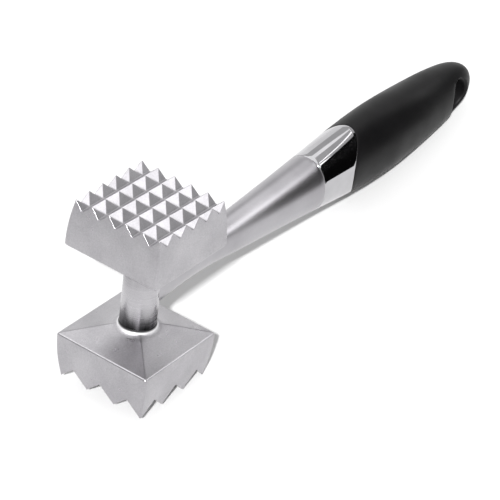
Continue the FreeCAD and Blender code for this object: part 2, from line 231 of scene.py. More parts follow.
def drill(piece, holes):
    """Cuts round holes, each (start, end, radius), into a closed mesh."""
    cutters = [rod(*hole) for hole in holes]
    for cutter in cutters:
        step = piece.modifiers.new("hole", "BOOLEAN")
        step.operation = "DIFFERENCE"
        step.solver = "EXACT"
        step.object = cutter
    apply_modifiers(piece)
    for cutter in cutters:
        data = cutter.data
        bpy.data.objects.remove(cutter)
        bpy.data.meshes.remove(data)


def soften(piece, width, segments, strip_material):
    """Rounds the edges that carry a bevel weight, as far as their weight says."""
    step = piece.modifiers.new("rounding", "BEVEL")
    step.limit_method = "WEIGHT"
    step.width = width * MM
    step.segments = segments
    step.use_clamp_overlap = False
    step.harden_normals = True
    step.material = strip_material
    apply_modifiers(piece)


def smooth(piece, crease_angle=38.0):
    for face in piece.data.polygons:
        face.use_smooth = True
    piece.data.set_sharp_from_angle(angle=math.radians(crease_angle))


# ---------------------------------------------------------------- the head's blocks

# What a face of a block belongs to
TOOTH, SIDE, BACK = range(3)
# How far each kind of edge is rounded, as a share of the full width
TOOTH_ROUNDING, RIM_ROUNDING, RIDGE_ROUNDING = 0.26, 1.0, 0.7


def wall_half(height):
    """Half width of a block at a height: the side walls are arcs from the rim to the tips."""
    rise, run = TIP_HEIGHT - RIM_HEIGHT, RIM_HALF - TIP_HALF
    chord = math.hypot(rise, run)
    middle_w, middle_z = (RIM_HALF + TIP_HALF) / 2, (RIM_HEIGHT + TIP_HEIGHT) / 2
    depth = math.sqrt(WALL_RADIUS ** 2 - (chord / 2) ** 2)
    centre_w, centre_z = middle_w - depth * rise / chord, middle_z - depth * run / chord
    return centre_w + math.sqrt(max(WALL_RADIUS ** 2 - (height - centre_z) ** 2, 0))


def smooth_min(a, b, width):
    part = max(width - abs(a - b), 0) / width
    return min(a, b) - part * part * width / 4


def fillet_centre(slope):
    """Radius and height of the centre of the arc that joins the stem to a block's roof."""
    height = APEX_HEIGHT + slope * BOSS_OUT - BOSS_HEIGHT
    chord = math.hypot(BOSS_OUT - STEM_R, height)
    depth = math.sqrt(BOSS_FILLET ** 2 - (chord / 2) ** 2)
    radius = (STEM_R + BOSS_OUT) / 2 + depth * height / chord
    return radius, BOSS_HEIGHT + height / 2 - depth * (BOSS_OUT - STEM_R) / chord


class Block:
    """One striking block, drawn with its teeth up. Lines across a tooth row are its crests and
    the two edges of each groove's flat floor."""

    def __init__(self, gaps):
        self.pitch = 2 * TIP_HALF / gaps
        self.gaps = gaps
        self.floor = TIP_HEIGHT - (self.pitch - CREST_FLAT - ROOT_FLAT) / 2
        self.peak = self.floor + (self.pitch - ROOT_FLAT) / 2
        self.splits = 2 if gaps > 4 else 3
        self.crests = [-TIP_HALF + self.pitch * i for i in range(gaps + 1)]
        self.roots = [(c + (self.pitch - ROOT_FLAT) / 2, c + (self.pitch + ROOT_FLAT) / 2)
                      for c in self.crests[:-1]]
        self.build = Builder()

    def span(self, i):
        """Floor edges either side of crest i; the outer crests end at the wall."""
        low = self.roots[i - 1][1] if i > 0 else self.crests[0]
        high = self.roots[i][0] if i < self.gaps else self.crests[-1]
        return low, high

    def at(self, x, y, z):
        """A point of the tooth face, moved out to the bulged wall where it is on the border."""
        half = wall_half(z)
        if abs(x) > TIP_HALF - 0.01:
            x = math.copysign(half, x)
        if abs(y) > TIP_HALF - 0.01:
            y = math.copysign(half, y)
        return (x, y, z)

    def on_wall(self, p, q):
        return any(abs(p[a]) > TIP_HALF - 0.01 and p[a] * q[a] > 0 and abs(q[a]) > TIP_HALF - 0.01
                   for a in (0, 1))

    def run(self, p, q):
        """Points from p up to but not including q, with more between them along a wall."""
        flat = abs(p[2] - q[2]) < 0.01
        steps = self.splits if self.on_wall(p, q) and not flat else 1
        points = []
        for s in range(steps):
            x, y, z = (p[a] + (q[a] - p[a]) * s / steps for a in range(3))
            points.append(self.at(x, y, z))
        return points

    def polygon(self, corners, kind=TOOTH):
        points = []
        for p, q in zip(corners, corners[1:] + corners[:1]):
            points += self.run(p, q)
        self.build.face(points, kind)

    def teeth(self):
        for i, cx in enumerate(self.crests):
            for j, cy in enumerate(self.crests):
                (x0, x1), (y0, y1) = self.span(i), self.span(j)
                base = [(x, y, self.floor) for x, y in ((x0, y0), (x1, y0), (x1, y1), (x0, y1))]
                top = (cx, cy, self.peak)
                for p, q in zip(base, base[1:] + base[:1]):
                    same_x = abs(p[0] - cx) < 0.01 and abs(q[0] - cx) < 0.01
                    same_y = abs(p[1] - cy) < 0.01 and abs(q[1] - cy) < 0.01
                    if not same_x and not same_y:
                        self.polygon([p, q, top])

    def floors(self):
        cells = []
        for i in range(self.gaps + 1):
            cells.append((*self.span(i), False))
            if i < self.gaps:
                cells.append((*self.roots[i], True))
        for x0, x1, gap_x in cells:
            for y0, y1, gap_y in cells:
                if gap_x or gap_y:
                    z = self.floor
                    self.polygon([(x0, y0, z), (x1, y0, z), (x1, y1, z), (x0, y1, z)])

    def top_chain(self):
        """Tooth border along one wall, from corner to corner, as (place along it, height)."""
        spots = []
        for i, crest in enumerate(self.crests):
            spots.append((crest, self.peak))
            if i < self.gaps:
                spots.append((self.roots[i][0], self.floor))
                spots.append((self.roots[i][1], self.floor))
        chain = []
        for p, q in zip(spots[:-1], spots[1:]):
            steps = self.splits if abs(p[1] - q[1]) > 0.01 else 1
            for s in range(steps):
                chain.append((p[0] + (q[0] - p[0]) * s / steps, p[1] + (q[1] - p[1]) * s / steps))
        return chain + [spots[-1]]

    def wall(self):
        """Rows of the -X side wall, from the teeth's border to the rim."""
        chain = self.top_chain()
        shares = [max(-1.0, min(1.0, along / wall_half(z))) for along, z in chain]
        shares[0], shares[-1] = -1.0, 1.0
        top = [(-wall_half(z), -share * wall_half(z), z) for share, (_, z) in zip(shares, chain)]
        top[0] = self.at(-TIP_HALF, TIP_HALF, self.peak)
        top[-1] = self.at(-TIP_HALF, -TIP_HALF, self.peak)
        levels = np.linspace(self.floor - 1.0, RIM_HEIGHT, 8)
        return [top] + [[(-wall_half(z), -s * wall_half(z), z) for s in shares] for z in levels]

    @staticmethod
    def back(rim):
        """Rings of the -X slope of the back: from the rim inwards, then up the boss's fillet."""
        slope = (RIM_HEIGHT - APEX_HEIGHT) / RIM_HALF
        fillet_r, fillet_z = fillet_centre(slope)

        def roof(x, y):
            return APEX_HEIGHT + slope * max(abs(x), abs(y))

        rings = [rim]
        for share in (0.25, 0.5, 0.75, 1.0):
            ring = []
            for x, y, _ in rim:
                reach = math.hypot(x, y)
                radius = reach + (BOSS_OUT + 0.8 - reach) * share
                px, py = x * radius / reach, y * radius / reach
                ring.append((px, py, roof(px, py)))
            rings.append(ring)
        last = math.acos((fillet_r - BOSS_OUT) / BOSS_FILLET)
        first = math.acos((fillet_r - STEM_R) / BOSS_FILLET)
        for turn in np.linspace(last, first, 12):
            radius = fillet_r - BOSS_FILLET * math.cos(turn)
            boss = fillet_z + BOSS_FILLET * math.sin(turn)
            ring = []
            for x, y, _ in rim:
                reach = math.hypot(x, y)
                px, py = x * radius / reach, y * radius / reach
                ring.append((px, py, smooth_min(roof(px, py), boss, 0.3)))
            rings.append(ring)
        return rings

    def walls_and_back(self):
        rows = self.wall()
        rings = self.back(rows[-1])
        for quarter in range(4):
            turn = Matrix.Rotation(math.pi / 2 * quarter, 3, "Z")
            turned_rows = [[tuple(turn @ Vector(p)) for p in row] for row in rows]
            turned_rings = [[tuple(turn @ Vector(p)) for p in ring] for ring in rings]
            self.build.skin(turned_rows, kind=SIDE)
            self.build.skin(turned_rings, kind=BACK)
            self.build.fan(turned_rings[-1], (0, 0, BOSS_HEIGHT))

    def finish(self, name, upside_down):
        self.teeth()
        self.floors()
        self.walls_and_back()
        mesh = self.build.mesh
        kind = self.build.kind
        bmesh.ops.recalc_face_normals(mesh, faces=mesh.faces[:])
        weight = mesh.edges.layers.float.new("bevel_weight_edge")
        for edge in mesh.edges:
            if len(edge.link_faces) != 2:
                continue
            kinds = sorted(face[kind] for face in edge.link_faces)
            angle = math.degrees(edge.calc_face_angle())
            if kinds == [TOOTH, TOOTH] and angle > 15:
                edge[weight] = TOOTH_ROUNDING
            elif kinds == [TOOTH, SIDE]:
                edge[weight] = TOOTH_ROUNDING
            elif angle > 50 and kinds in ([SIDE, SIDE], [SIDE, BACK]):
                edge[weight] = RIM_ROUNDING
            elif kinds == [BACK, BACK] and angle > 8 and self.is_ridge(edge):
                edge[weight] = RIDGE_ROUNDING
        if upside_down:
            bmesh.ops.scale(mesh, vec=(1, 1, -1), verts=mesh.verts[:])
            bmesh.ops.reverse_faces(mesh, faces=mesh.faces[:])
        return self.build.object(name)

    @staticmethod
    def is_ridge(edge):
        a, b = (v.co for v in edge.verts)
        far = min(math.hypot(a.x, a.y), math.hypot(b.x, b.y)) > (STEM_R + 2) * MM
        return far and abs(abs(a.x) - abs(a.y)) < 1e-6 and abs(abs(b.x) - abs(b.y)) < 1e-6


def tooth_block(name, gaps, up):
    piece = Block(gaps).finish(name, up < 0)
    drill(piece, [
        ((0, 0, up * 5.0), (0, 0, up * SPIGOT_END), SPIGOT_R),
        ((0, 0, up * (SPIGOT_END - 1)), (0, 0, up * STUD_HIGH), STUD_R),
        ((DOWEL_OFF, 0, up * (SPIGOT_END - 1)), (DOWEL_OFF, 0, up * DOWEL_HIGH), DOWEL_R),
    ])
    return piece


# ---------------------------------------------------------------- the handle's shape

def natural_spline(knots, values):
    """Function through the values, with a smooth bend all along."""
    count = len(knots)
    gap = np.diff(knots)
    system, right = np.eye(count), np.zeros(count)
    for i in range(1, count - 1):
        system[i, i - 1:i + 2] = gap[i - 1], 2 * (gap[i - 1] + gap[i]), gap[i]
        right[i] = 6 * ((values[i + 1] - values[i]) / gap[i] - (values[i] - values[i - 1]) / gap[i - 1])
    bend = np.linalg.solve(system, right)

    def value(t):
        i = np.clip(np.searchsorted(knots, t) - 1, 0, count - 2)
        a, b = knots[i + 1] - t, t - knots[i]
        low = values[i] / gap[i] - bend[i] * gap[i] / 6
        high = values[i + 1] / gap[i] - bend[i + 1] * gap[i] / 6
        return (bend[i] * a ** 3 + bend[i + 1] * b ** 3) / (6 * gap[i]) + low * a + high * b

    return value


def handle_profile():
    along, half = np.array(STATIONS).T
    path = np.concatenate(([0], np.cumsum(np.hypot(np.diff(along), np.diff(half)))))
    fine = np.linspace(0, path[-1], 6000)
    return natural_spline(path, along)(fine), natural_spline(path, half)(fine)


PROFILE_X, PROFILE_HALF = handle_profile()
HALF_COLUMNS = 48
COLUMN_ANGLES = np.radians(np.linspace(-90, 90, HALF_COLUMNS + 1))


def half_width(x):
    return np.interp(x, PROFILE_X, PROFILE_HALF)


def rise(x):
    share = np.clip((np.asarray(x) - RISE_START) / (TAIL_END - RISE_START), 0, None)
    return TAIL_RISE * share ** RISE_POWER


def handle_point(x, angle, inset=0.0):
    """Point of the handle's surface, or that far inside it; angle 0 is the +Y side."""
    wide = half_width(x) - inset
    tall = half_width(x) * OVAL - inset
    return (float(x), float(wide * math.cos(angle)), float(rise(x) + tall * math.sin(angle)))


def ring_edge(angle, inset=0.0):
    """Where the collar ring ends at this angle: a valley at the sides, tongues above and below."""
    x = RING_VALLEY
    for _ in range(12):
        level = (half_width(x) * OVAL - inset) * math.sin(angle)
        x = RING_VALLEY + RING_REACH * (level / RING_TALL) ** 2
    return float(x)


def loop_at(x, inset=0.0):
    """Half section of the handle; x is one number or a function of the angle."""
    return [handle_point(x(a) if callable(x) else x, a, inset) for a in COLUMN_ANGLES]


def round_loop(x, radius, level=0.0):
    return [(x, radius * math.cos(a), level + radius * math.sin(a)) for a in COLUMN_ANGLES]


# Rounded edge of a shell: how far back from the edge, how far in from the surface
EDGE = [(0.0, 0.32), (0.06, 0.16), (0.17, 0.05), (0.36, 0.0)]


def shank():
    build = Builder()

    def cope(angle):
        x = STEM_R
        for _ in range(30):
            across = half_width(x) * math.cos(angle)
            x = max(math.sqrt(max(STEM_R ** 2 - across ** 2, 0)), STATIONS[0][0])
        return x

    def on_stem(y, z):
        return (math.sqrt(max(STEM_R ** 2 - y * y, 0)), y, z)

    front = loop_at(cope)
    bore = round_loop(0.0, SHANK_STUD_R)
    saddle = [front]
    for share in (0.15, 0.32, 0.5, 0.68, 0.85, 1.0):
        saddle.append([on_stem(p[1] + (q[1] - p[1]) * share, p[2] + (q[2] - p[2]) * share)
                       for p, q in zip(front, bore)])
    body = []
    for share in np.linspace(0, 1, 52)[1:-1] ** 1.15:
        body.append([handle_point(p[0] + (SEAM - EDGE[-1][0] - p[0]) * share, a)
                     for p, a in zip(front, COLUMN_ANGLES)])
    rear = [loop_at(SEAM - back, inset) for back, inset in reversed(EDGE)]
    socket = [round_loop(x, TANG_R) for x in np.linspace(SEAM, TANG_START, 6)]
    build.skin(saddle[::-1] + body + rear + socket)
    build.fan(socket[-1], (TANG_START, 0, 0))
    stud = [saddle[-1]] + [round_loop(x, SHANK_STUD_R) for x in (14.0, 22.0, SHANK_STUD_END)]
    build.skin(stud)
    build.fan(stud[-1], (SHANK_STUD_END, 0, 0))
    build.mirror()
    piece = build.object("shank")
    dowel_start, dowel_end = ((x, 0, SHANK_DOWEL_OFF) for x in (SHANK_DOWEL_START, SHANK_DOWEL_END))
    drill(piece, [(dowel_start, dowel_end, DOWEL_R)])
    smooth(piece)
    return piece


def collar():
    build = Builder()
    loops = [loop_at(SEAM, WALL)]
    loops += [loop_at(SEAM + back, inset) for back, inset in EDGE]
    for share in np.linspace(0, 1, 20)[1:-1]:
        loops.append(loop_at(lambda a: SEAM + 0.4 + (ring_edge(a) - 0.4 - SEAM - 0.4) * share))
    for back, inset in reversed(EDGE):
        loops.append(loop_at(lambda a: ring_edge(a) - back, inset))
    loops.append(loop_at(lambda a: ring_edge(a, WALL), WALL))
    for share in (0.75, 0.5, 0.25, 0.0):
        loops.append(loop_at(lambda a: SEAM + (ring_edge(a, WALL) - SEAM) * share, WALL))
    build.skin(loops)
    build.mirror()
    piece = build.object("collar")
    smooth(piece)
    return piece


class Shell:
    """Half of the grip's outer or inner surface: a grid of stations by columns with a round
    hole through its side."""

    def __init__(self, build, stations, inset, hole_radius):
        self.build = build
        self.stations = stations
        self.inset = inset
        self.hole_radius = hole_radius

    def angle_of(self, x, z):
        tall = half_width(x) * OVAL - self.inset
        return math.asin(max(-1.0, min(1.0, (z - float(rise(x))) / tall)))

    def window(self, lead, tail, reach):
        """First and last station and column of the patch that holds the hole."""
        places = [s if not callable(s) else 0.0 for s, _ in self.stations]
        j0 = max(j for j, x in enumerate(places) if 0 < x <= lead)
        j1 = min(j for j, x in enumerate(places) if x >= tail)
        k0 = max(k for k, a in enumerate(COLUMN_ANGLES) if a <= -math.radians(reach))
        return j0, j1, k0, HALF_COLUMNS - k0

    def surface(self, j0, j1, k0, k1):
        loops = [loop_at(x, inset) for x, inset in self.stations]
        for j in range(len(loops) - 1):
            for k in range(HALF_COLUMNS):
                if not (j0 <= j < j1 and k0 <= k < k1):
                    self.build.face((loops[j][k], loops[j][k + 1], loops[j + 1][k + 1], loops[j + 1][k]))
        return loops

    def border(self, j0, j1, k0, k1):
        places = [(j, k0) for j in range(j0, j1)] + [(j1, k) for k in range(k0, k1)]
        places += [(j, k1) for j in range(j1, j0, -1)] + [(j0, k) for k in range(k1, k0, -1)]
        return [(self.stations[j][0], COLUMN_ANGLES[k]) for j, k in places]

    def hole(self, limits, rings, lip):
        """Rings from the patch's border to the hole's rim, then down the hole to the middle."""
        j0, j1, k0, k1 = limits
        border = self.border(*limits)
        centre = (HOLE_X, self.angle_of(HOLE_X, HOLE_Z))
        half_x = (self.stations[j1][0] - self.stations[j0][0]) / 2
        middle_x = (self.stations[j1][0] + self.stations[j0][0]) / 2
        half_a = COLUMN_ANGLES[k1]
        turns = [math.atan2(a / half_a, (x - middle_x) / half_x) for x, a in border]
        rim_radius = self.hole_radius + lip
        rim = []
        for turn in turns:
            x, z = HOLE_X + rim_radius * math.cos(turn), HOLE_Z + rim_radius * math.sin(turn)
            rim.append((x, self.angle_of(x, z)))
        loops = []
        for i in range(rings + 1):
            share = i / rings
            loops.append([handle_point(x + (rim_x - x) * share, a + (rim_a - a) * share, self.inset)
                          for (x, a), (rim_x, rim_a) in zip(border, rim)])
        edge = loops[-1]
        if lip:
            for step in (1, 2, 3, 4):
                bend = math.radians(90 * step / 4)
                radius = self.hole_radius + lip * (1 - math.sin(bend))
                loops.append([(HOLE_X + radius * math.cos(t), p[1] - lip * (1 - math.cos(bend)),
                               HOLE_Z + radius * math.sin(t)) for t, p in zip(turns, edge)])
        last = loops[-1]
        for share in (0.75, 0.5, 0.25, 0.0):
            loops.append([(p[0], p[1] * share, p[2]) for p in last])
        self.build.skin(loops, closed=True)


def grip():
    build = Builder()
    straight = 176.0

    def past_ring(gap):
        return lambda angle: ring_edge(angle) + gap

    def share_of_way(share, gap=0.0, inset=0.0):
        """Station that is this share of the way from the ring's edge to the straight stations."""
        def station(angle):
            start = ring_edge(angle, inset) + gap
            return start + (straight - start) * share
        return station

    outer = [(past_ring(back), inset) for back, inset in EDGE]
    outer += [(share_of_way(share, gap=0.4), 0.0) for share in np.linspace(0, 1, 13)[1:-1]]
    outer += [(x, 0.0) for x in np.linspace(straight, 258.0, 35)]
    outer += [(x, 0.0) for x in (259.3, 260.5, 261.6, 262.6, 263.5, 264.3, 265.0, 265.5, 265.85, TAIL_END)]
    shell = Shell(build, outer, 0.0, HOLE_R)
    limits = shell.window(234.0, 258.0, 76)
    loops = shell.surface(*limits)
    build.fan(loops[-1], (TAIL_END + 0.2, 0, float(rise(TAIL_END))))
    shell.hole(limits, 6, HOLE_LIP)

    inner = [(share_of_way(share, inset=WALL), WALL) for share in (0.0, 0.5)]
    inner += [(x, WALL) for x in np.linspace(straight, CORE_END, 30)]
    cavity = Shell(build, inner, WALL, EYE_R)
    limits = cavity.window(234.5, 257.6, 80)
    inside = cavity.surface(*limits)
    build.fan(inside[-1], (CORE_END, 0, float(rise(CORE_END))))
    cavity.hole(limits, 4, 0.0)

    build.skin([loops[0], inside[0]])
    build.mirror()
    piece = build.object("grip")
    smooth(piece)
    return piece


def stem():
    build = Builder()
    segments = 96
    corner, lead = 0.15, 0.6
    half = [(SPIGOT_R - lead, SPIGOT_END), (SPIGOT_R, SPIGOT_END - lead), (SPIGOT_R, BOSS_HEIGHT),
            (STEM_R - corner, BOSS_HEIGHT), (STEM_R, BOSS_HEIGHT - corner)]
    half += [(STEM_R, z) for z in (10.0, 6.0, 2.0)]
    profile = half + [(radius, -z) for radius, z in reversed(half)]
    angles = [2 * math.pi * k / segments for k in range(segments)]
    rings = [[(radius * math.cos(a), radius * math.sin(a), z) for a in angles] for radius, z in profile]
    build.skin(rings, closed=True)
    build.fan(rings[0], (0, 0, SPIGOT_END), closed=True)
    build.fan(rings[-1], (0, 0, -SPIGOT_END), closed=True)
    piece = build.object("stem")
    holes = [((SHANK_STUD_START, 0, 0), (STEM_R + 2, 0, 0), SHANK_STUD_R),
             ((SHANK_DOWEL_START, 0, SHANK_DOWEL_OFF), (STEM_R + 2, 0, SHANK_DOWEL_OFF), DOWEL_R)]
    for up in (1, -1):
        holes.append(((0, 0, up * STUD_LOW), (0, 0, up * (SPIGOT_END + 1)), STUD_R))
        holes.append(((DOWEL_OFF, 0, up * DOWEL_LOW), (DOWEL_OFF, 0, up * (SPIGOT_END + 1)), DOWEL_R))
    drill(piece, holes)
    smooth(piece)
    return piece


# ---------------------------------------------------------------- materials

class Surface:
    """A principled material whose colour, roughness and bump come from procedural nodes."""

    def __init__(self, name, metallic):
        self.material = bpy.data.materials.new(name)
        self.material.use_nodes = True
        self.tree = self.material.node_tree
        self.shader = self.tree.nodes["Principled BSDF"]
        self.shader.inputs["Metallic"].default_value = metallic
        self.place = self.mallet_place()
        self.normal = None

    def node(self, kind, **settings):
        made = self.tree.nodes.new(kind)
        for key, value in settings.items():
            setattr(made, key, value)
        return made

    def link(self, source, target):
        self.tree.links.new(source, target)

    def mallet_place(self):
        """Coordinates in the mallet's own frame, so that grain follows the stem and handle."""
        mapping = self.node("ShaderNodeMapping", vector_type="TEXTURE")
        mapping.inputs["Location"].default_value = LAID_DOWN.to_translation()
        mapping.inputs["Rotation"].default_value = LAID_DOWN.to_euler()
        self.link(self.node("ShaderNodeTexCoord").outputs["Object"], mapping.inputs["Vector"])
        return mapping.outputs["Vector"]

    def stretched(self, scale):
        mapping = self.node("ShaderNodeMapping")
        mapping.inputs["Scale"].default_value = scale
        self.link(self.place, mapping.inputs["Vector"])
        return mapping.outputs["Vector"]

    def noise(self, scale, detail=3.0, stretch=None, rough=0.5):
        made = self.node("ShaderNodeTexNoise")
        made.inputs["Scale"].default_value = scale
        made.inputs["Detail"].default_value = detail
        made.inputs["Roughness"].default_value = rough
        self.link(self.stretched(stretch) if stretch else self.place, made.inputs["Vector"])
        return made.outputs["Fac"]

    def ranged(self, source, low, high, start=0.3, stop=0.7):
        made = self.node("ShaderNodeMapRange")
        for key, value in (("From Min", start), ("From Max", stop), ("To Min", low), ("To Max", high)):
            made.inputs[key].default_value = value
        self.link(source, made.inputs["Value"])
        return made.outputs["Result"]

    def colours(self, source, dark, light, start=0.35, stop=0.65):
        ramp = self.node("ShaderNodeValToRGB")
        ramp.color_ramp.elements[0].position = start
        ramp.color_ramp.elements[0].color = (*dark, 1)
        ramp.color_ramp.elements[1].position = stop
        ramp.color_ramp.elements[1].color = (*light, 1)
        self.link(source, ramp.inputs["Fac"])
        return ramp.outputs["Color"]

    def math(self, operation, *values):
        made = self.node("ShaderNodeMath", operation=operation)
        for socket, value in zip(made.inputs, values):
            if isinstance(value, (int, float)):
                socket.default_value = value
            else:
                self.link(value, socket)
        return made.outputs["Value"]

    def polar(self):
        """Distance from the stem's axis and from its middle, in millimetres."""
        split = self.node("ShaderNodeSeparateXYZ")
        self.link(self.place, split.inputs["Vector"])
        x, y, z = (self.math("DIVIDE", split.outputs[k], MM) for k in "XYZ")
        squares = self.math("ADD", self.math("MULTIPLY", x, x), self.math("MULTIPLY", y, y))
        radius = self.math("SQRT", squares)
        return radius, self.math("ABSOLUTE", z)

    def grey_steps(self, source, *steps):
        """Grey tone that runs through (value, tone) steps."""
        low, high = steps[0][0], steps[-1][0]
        ramp = self.node("ShaderNodeValToRGB")
        elements = ramp.color_ramp.elements
        for _ in steps[2:]:
            elements.new(0.5)
        for element, (value, tone) in zip(elements, steps):
            element.position = (value - low) / (high - low)
            element.color = (tone, tone, tone, 1)
        self.link(self.ranged(source, 0.0, 1.0, low, high), ramp.inputs["Fac"])
        return ramp.outputs["Color"]

    def painted_crevice_shade(self, distance_mm, tone):
        """Painted shade: white, but this dark where other surfaces stand close."""
        made = self.node("ShaderNodeAmbientOcclusion", samples=8)
        made.inputs["Distance"].default_value = distance_mm * MM
        return self.grey_steps(made.outputs["AO"], (0.35, tone), (0.8, 1.0))

    def mix(self, blend, a, b, share):
        made = self.node("ShaderNodeMix", data_type="RGBA", blend_type=blend)
        made.inputs["Factor"].default_value = share
        self.link(a, made.inputs[6])
        self.link(b, made.inputs[7])
        return made.outputs[2]

    def multiply(self, a, b, share):
        return self.mix("MULTIPLY", a, b, share)

    def set_colour(self, source):
        self.link(source, self.shader.inputs["Base Color"])

    def set_roughness(self, source):
        self.link(source, self.shader.inputs["Roughness"])

    def bump(self, source, height_mm, strength=1.0):
        made = self.node("ShaderNodeBump")
        made.inputs["Strength"].default_value = strength
        made.inputs["Distance"].default_value = height_mm * MM
        self.link(source, made.inputs["Height"])
        if self.normal:
            self.link(self.normal, made.inputs["Normal"])
        self.normal = made.outputs["Normal"]
        self.link(self.normal, self.shader.inputs["Normal"])


def head_metal():
    """Metal with a fine blast finish and painted shade where surfaces stand close, darkest in each
    crevice.
    Round the stem the boss has a painted dark band of shade, then one painted bright line of highlight,
    and is rougher than the rest."""
    made = Surface("head_metal", 1.0)
    clouds = made.colours(made.noise(55, 4), (0.41, 0.40, 0.42), (0.49, 0.48, 0.50))
    grain = made.colours(made.noise(1500, 3, rough=0.7), (0.8, 0.8, 0.8), (1, 1, 1))
    # Painted shade: the colour is darkened where other surfaces stand close, as in the tooth valleys.
    blasted_and_shaded = made.multiply(made.multiply(clouds, grain, 0.8), made.painted_crevice_shade(2.2, 0.25), 1.0)
    # Distance from the stem's axis; above the rim it is pushed beyond the painted boss tones.
    radius, height = made.polar()
    above_rim = made.math("SUBTRACT", 1.0, made.math("LESS_THAN", height, RIM_HEIGHT + 1.0))
    reach = made.math("ADD", radius, made.math("MULTIPLY", above_rim, 30.0))
    # Painted shade: a dark band on the boss round the foot of the stem.
    dark = made.grey_steps(reach, (STEM_R - 0.2, 0.03), (STEM_R + 0.2, 0.15), (STEM_R + 0.5, 1.0),
                           (40.0, 1.0))
    # Painted highlight: one bright line round the boss, just outside the dark band.
    bright = made.grey_steps(reach, (STEM_R + 0.1, 0.0), (STEM_R + 0.4, 0.5), (STEM_R + 0.8, 0.25),
                             (STEM_R + 1.2, 0.06), (BOSS_OUT + 4.0, 0.0))
    made.set_colour(made.mix("ADD", made.multiply(blasted_and_shaded, dark, 1.0), bright, 1.0))
    turned = made.grey_steps(reach, (STEM_R + 0.5, 0.6), (BOSS_OUT, 0.5), (BOSS_OUT + 1.0, 0.0))
    plain = made.ranged(made.noise(120, 4), 0.27, 0.36)
    made.set_roughness(made.math("MAXIMUM", plain, turned))
    made.bump(made.noise(70, 2), 0.05)
    made.bump(made.noise(1900, 3, rough=0.7), 0.004)
    return made.material


def head_edge_wear_and_highlight():
    """The same metal on the rounded edges: brighter, partly from handling wear and partly as a
    painted highlight along each edge.
    """
    made = Surface("head_edge_wear_and_highlight", 1.0)
    made.set_colour(made.colours(made.noise(260, 4), (0.74, 0.73, 0.75), (0.88, 0.87, 0.88)))
    made.set_roughness(made.ranged(made.noise(400, 3), 0.22, 0.34))
    made.bump(made.noise(1900, 3, rough=0.7), 0.003)
    return made.material


def stem_metal():
    """Turned bar: fine rings round it, and painted shade that darkens it towards its two fillets,
    with a streaky edge.
    """
    made = Surface("stem_metal", 1.0)
    rings = made.noise(260, 4, stretch=(0.15, 0.15, 7))
    clouds = made.colours(made.noise(70, 4), (0.44, 0.43, 0.45), (0.52, 0.51, 0.53))
    turned = made.multiply(clouds, made.colours(rings, (0.86, 0.86, 0.86), (1, 1, 1)), 0.7)
    shade_streaks = made.noise(230, 3, stretch=(1, 1, 0.12), rough=0.6)
    height = made.polar()[1]
    ragged = made.math("MULTIPLY", made.math("SUBTRACT", shade_streaks, 0.5), 9.0)
    uneven = made.math("ADD", height, ragged)
    # Painted shade: darker towards both fillets where the stem meets the blocks, ragged along the stem.
    dark = made.grey_steps(uneven, (4.0, 1.0), (9.5, 0.8), (13.5, 0.3), (16.5, 0.04))
    made.set_colour(made.multiply(turned, dark, 1.0))
    made.set_roughness(made.ranged(rings, 0.2, 0.3))
    made.bump(rings, 0.003)
    return made.material


def shank_metal():
    """Satin metal, brushed round the shank."""
    made = Surface("shank_metal", 1.0)
    brushed = made.noise(600, 4, stretch=(9, 0.35, 0.35), rough=0.6)
    clouds = made.colours(made.noise(40, 3), (0.38, 0.37, 0.39), (0.43, 0.42, 0.44))
    made.set_colour(made.multiply(clouds, made.colours(brushed, (0.92, 0.92, 0.92), (1, 1, 1)), 0.6))
    made.set_roughness(made.ranged(brushed, 0.3, 0.36))
    made.bump(brushed, 0.0006)
    made.bump(made.noise(1700, 2), 0.002)
    return made.material


def ring_metal():
    """Polished metal, with a faint wave that keeps its reflections from being perfect."""
    made = Surface("ring_metal", 1.0)
    made.set_colour(made.colours(made.noise(90, 3), (0.46, 0.455, 0.47), (0.51, 0.505, 0.52)))
    made.set_roughness(made.ranged(made.noise(220, 4), 0.035, 0.075))
    made.bump(made.noise(900, 2), 0.0004)
    return made.material


def soft_grip():
    """Matte rubber with a fine moulded grain and slightly polished patches."""
    made = Surface("soft_grip", 0.0)
    worn = made.colours(made.noise(45, 4), (0.0025, 0.0023, 0.0027), (0.0045, 0.0042, 0.0047))
    specks = made.colours(made.noise(1300, 4, rough=0.7), (0.7, 0.7, 0.7), (1, 1, 1))
    made.set_colour(made.multiply(worn, specks, 0.7))
    made.set_roughness(made.ranged(made.noise(60, 4), 0.42, 0.54))
    cells = made.node("ShaderNodeTexVoronoi", feature="SMOOTH_F1")
    cells.inputs["Scale"].default_value = 1500
    made.link(made.place, cells.inputs["Vector"])
    made.bump(cells.outputs["Distance"], 0.02, 0.5)
    made.bump(made.noise(2600, 2), 0.006)
    made.shader.inputs["Specular IOR Level"].default_value = 0.18
    made.shader.inputs["Sheen Weight"].default_value = 0.01
    made.shader.inputs["Sheen Roughness"].default_value = 0.4
    return made.material


def core_plastic():
    """Dark moulded plastic of the grip's two inner halves."""
    made = Surface("core_plastic", 0.0)
    made.set_colour(made.colours(made.noise(120, 4), (0.035, 0.035, 0.04), (0.06, 0.06, 0.065)))
    made.set_roughness(made.ranged(made.noise(300, 3), 0.45, 0.6))
    made.bump(made.noise(1800, 3), 0.01)
    return made.material


def inner_steel():
    """Drawn bar steel of the studs, dowels, pins and tang."""
    made = Surface("inner_steel", 1.0)
    drawn = made.noise(200, 4, stretch=(0.3, 6, 6))
    made.set_colour(made.colours(drawn, (0.5, 0.5, 0.52), (0.62, 0.62, 0.64)))
    made.set_roughness(made.ranged(drawn, 0.25, 0.4))
    made.bump(drawn, 0.004)
    return made.material


# ---------------------------------------------------------------- pieces

def place(piece, node, slot, *materials):
    piece.name = node + "_look"
    piece.data.name = piece.name
    piece.data.materials.clear()
    for material in materials:
        piece.data.materials.append(material)
    piece.data.transform(LAID_DOWN)
    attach(piece, "root")
    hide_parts(node)


